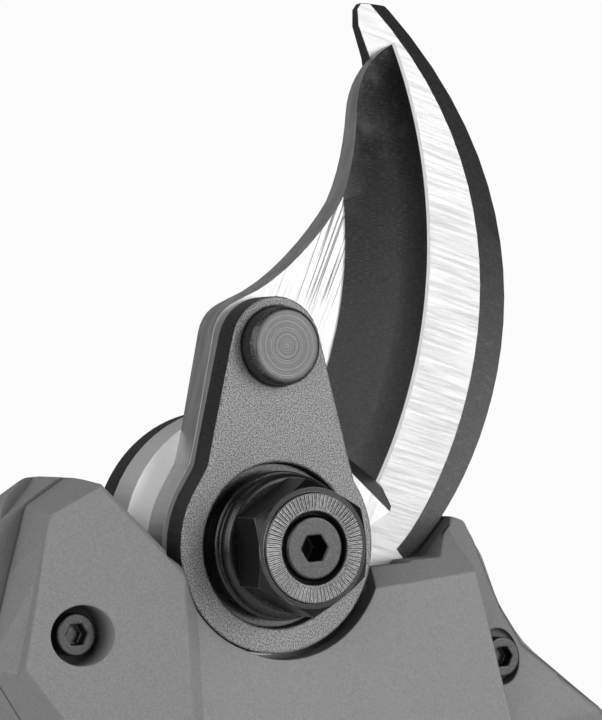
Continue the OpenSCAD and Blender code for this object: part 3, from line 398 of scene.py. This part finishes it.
LOOK = {
    "housing": ["front_shell", "rear_shell"],
    "soft": ["grip_cover"],
    "black": ["trigger", "power_button", "contact_block", "battery_case", "battery_lid",
              "latch_left", "latch_right", "board_parts"],
    "nut": ["pivot_nut"],
    "oxide": ["pivot_bolt", "flange_washer", "disc_washer", "hook_screws", "shell_screws",
              "pivot_bush"],
    "steel": ["pinion_bearing", "bearing_core", "bevel_pinion", "planet_carrier", "planet_pins",
              "motor_shaft", "trigger_pin", "trigger_spring"],
    "blasted": ["link_plate", "sector_gear"],
    "blade": ["cutting_blade"],
    "hook": ["hook_blade"],
    "alloy": ["gearcase", "motor_plate", "motor_can"],
    "iron": ["ring_gear", "stator", "rotor", "trigger_magnet"],
    "bronze": ["motor_bushes", "planet_a", "planet_b", "planet_c", "sun_gear", "contact_blades",
               "battery_contacts"],
    "pin": ["drive_pin"],
    "lens": ["status_lens"],
    "board": ["controller_board", "battery_board"],
    "jacket": ["motor_leads", "battery_leads"],
    "cell": ["battery_cells"],
}

for look, names in LOOK.items():
    for name in names:
        mesh = NODES[name].data
        mesh.materials.clear()
        mesh.materials.append(MATERIALS[look])


# ---------- rounded edges on the CAD pieces ----------

# Width of the rounding in mm
ROUND = {
    "front_shell": 0.5, "rear_shell": 0.5, "link_plate": 0.45, "cutting_blade": 0.06, "hook_blade": 0.1,
    "sector_gear": 0.2, "drive_pin": 0.3, "pivot_nut": 0.25, "flange_washer": 0.2, "pivot_bolt": 0.2,
    "shell_screws": 0.2, "trigger": 0.8, "grip_cover": 0.4, "battery_case": 0.6, "battery_lid": 0.6,
    "power_button": 0.4, "latch_left": 0.4, "latch_right": 0.4,
}

WELD_DISTANCE = 0.000002
FLAT_WITHIN = math.radians(0.6)
SHARP_FROM = math.radians(28)

for name, width in ROUND.items():
    piece = NODES[name]
    weld = piece.modifiers.new("weld", "WELD")
    weld.merge_threshold = WELD_DISTANCE
    flat = piece.modifiers.new("flat", "DECIMATE")
    flat.decimate_type = "DISSOLVE"
    flat.angle_limit = FLAT_WITHIN
    edge = piece.modifiers.new("edge", "BEVEL")
    edge.width = width * MM
    edge.segments = 3
    edge.limit_method = "ANGLE"
    edge.angle_limit = SHARP_FROM
    edge.use_clamp_overlap = True
    edge.harden_normals = True


# ---------- stage ----------

FLOOR_GAP = 0.002
FLOOR_FRONT, FLOOR_REAR = -2.5, 1.2
CURVE_RADIUS, CURVE_STEPS = 0.8, 16
WALL_TOP, HALF_WIDTH = 3.5, 4.0


def backdrop():
    """Floor that curves up into a wall, one smooth sheet."""
    floor_z = cad_lo.z - FLOOR_GAP
    profile = [(FLOOR_FRONT, 0.0), (FLOOR_REAR, 0.0)]
    for i in range(1, CURVE_STEPS + 1):
        a = math.pi / 2 * i / CURVE_STEPS
        y = FLOOR_REAR + CURVE_RADIUS * math.sin(a)
        profile.append((y, CURVE_RADIUS - CURVE_RADIUS * math.cos(a)))
    profile.append((FLOOR_REAR + CURVE_RADIUS, WALL_TOP))
    mesh = bpy.data.meshes.new("backdrop")
    points = [(x, y, floor_z + z) for y, z in profile for x in (-HALF_WIDTH, HALF_WIDTH)]
    faces = [(2 * i, 2 * i + 1, 2 * i + 3, 2 * i + 2) for i in range(len(profile) - 1)]
    mesh.from_pydata(points, [], faces)
    mesh.shade_smooth()
    sheet = bpy.data.objects.new("backdrop", mesh)
    scene.collection.objects.link(sheet)
    t = Tree("backdrop_paper")
    tone = t.mix(t.noise(6, 4), grey(0.86), grey(0.9))
    t.surface(tone, 0.9, 0.0, t.bump(t.noise(900, 2), 0.1, 0.0002))
    paper = t.nodes["Principled BSDF"]
    glow = t.add("ShaderNodeEmission", {"Color": grey(1.0), "Strength": 1.0})
    seen = t.add("ShaderNodeLightPath").outputs["Is Camera Ray"]
    both = t.add("ShaderNodeMixShader", {0: t.math("MULTIPLY", seen, 0.97)})
    t.put(both, 1, paper.outputs[0])
    t.put(both, 2, glow.outputs[0])
    t.put(t.nodes["Material Output"], "Surface", both.outputs[0])
    mesh.materials.append(t.material)
    return sheet


def area_light(name, place, target, size, power):
    data = bpy.data.lights.new(name, "AREA")
    data.shape = "RECTANGLE"
    data.size, data.size_y = size
    data.energy = power
    lamp = bpy.data.objects.new(name, data)
    lamp.location = place
    lamp.rotation_mode = "QUATERNION"
    lamp.rotation_quaternion = (Vector(target) - Vector(place)).to_track_quat("-Z", "Y")
    scene.collection.objects.link(lamp)
    return lamp


backdrop()
area_light("key_right", (0.7, -0.9, 0.3), (0, 0, 0.0), (0.6, 0.9), 6.6)
area_light("front_card", (0.5, -1.0, 0.05), (0, 0, 0.02), (0.4, 0.9), 2.5)
area_light("front_left", (-0.7, -0.8, 0.35), (0, 0, 0), (0.5, 0.7), 4.5)
area_light("fill_left", (-1.0, -0.05, 0.5), (0, 0, 0), (0.5, 0.9), 4.5)
area_light("top", (0.0, 0.2, 1.1), (0, 0, 0), (0.7, 0.7), 1.5)

world = bpy.data.worlds.new("studio")
scene.world = world
world.use_nodes = True
sky = world.node_tree.nodes["Background"]
sky.inputs["Color"].default_value = (1, 1, 1, 1)
sky.inputs["Strength"].default_value = 0.07

LENS_MM = 157.5
SENSOR_MM = 36
CAMERA_AT = (-0.2090, -0.40815, 0.03175)
CAMERA_FORWARD = (0.4743, 0.8803, -0.0122)
CAMERA_UP = (0.0598, -0.0184, 0.9980)

camera_data = bpy.data.cameras.new("camera")
camera_data.lens = LENS_MM
camera_data.sensor_width = SENSOR_MM
camera_data.clip_start, camera_data.clip_end = 0.01, 20
camera = bpy.data.objects.new("camera", camera_data)
forward = Vector(CAMERA_FORWARD).normalized()
right = forward.cross(Vector(CAMERA_UP).normalized()).normalized()
up = right.cross(forward).normalized()
turn = Matrix((right, up, -forward)).transposed().to_4x4()
camera.matrix_world = Matrix.Translation(CAMERA_AT) @ turn
scene.collection.objects.link(camera)
scene.camera = camera
scene.view_settings.view_transform = "Standard"
